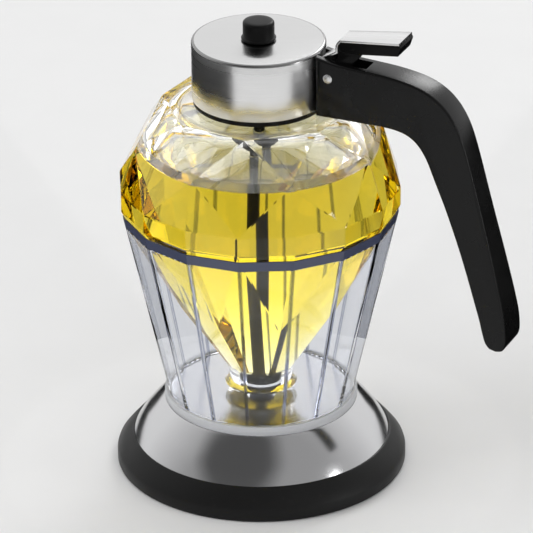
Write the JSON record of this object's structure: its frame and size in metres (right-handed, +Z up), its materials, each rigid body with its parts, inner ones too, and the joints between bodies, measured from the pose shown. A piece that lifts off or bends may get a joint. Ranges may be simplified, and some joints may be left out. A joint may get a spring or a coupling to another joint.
{
  "type": "honey dispenser",
  "caption": "Faceted glass honey dispenser with a steel cap, thumb lever and hooked handle, standing in a clear cup on a flared steel base.",
  "frame": {"origin": "centre of the underside of the rubber ring, on the jar's axis, at table level", "axes": "+Z up along the jar's axis; +X from the axis towards the handle; +Y completes the right-handed frame, along the lever's pivot pin"},
  "size_m": [0.1428, 0.1, 0.1663],
  "materials": {
    "ring_rubber": "matt black rubber",
    "base_steel": "mirror-polished stainless steel",
    "stand_clear": "clear acrylic with a faint blue-grey tint",
    "jar_glass": "clear pressed glass",
    "honey": "clear golden-yellow liquid honey",
    "cap_steel": "brushed stainless steel",
    "liner_black": "black moulded plastic",
    "guide_black": "black moulded plastic",
    "handle_black": "satin black plastic",
    "pin_steel": "plain steel",
    "lever_black": "satin black plastic",
    "lever_steel": "bright steel sheet",
    "knob_black": "satin black plastic",
    "rod_black": "black plastic rod and stopper"
  },
  "bodies": {
    "dispenser": {"base_ring": "ring_rubber", "base_steel": "base_steel", "stand": "stand_clear", "jar": "jar_glass", "honey": "honey", "cap": "cap_steel", "cap_liner": "liner_black", "rod_guide": "guide_black", "handle": "handle_black", "pivot_pin": "pin_steel"},
    "lever": {"lever": "lever_black", "lever_sheet": "lever_steel"},
    "plunger": {"knob": "knob_black", "rod": "rod_black"}
  },
  "joints": [
    {"name": "lever_press", "type": "hinge", "parent": "dispenser", "child": "lever", "pos_m": [0.0274, 0, 0.1493], "axis": [0, 1, 0], "range_deg": [0, 12], "stiffness_Nm_per_rad": 0.25, "springref_deg": -11.46},
    {"name": "plunger_lift", "type": "slide", "parent": "dispenser", "child": "plunger", "axis": [0, 0, 1], "range_m": [0, 0.0058]}
  ],
  "couplings": [
    {"joint": "plunger_lift", "follows": "lever_press", "m_per_rad": 0.0274}
  ]
}
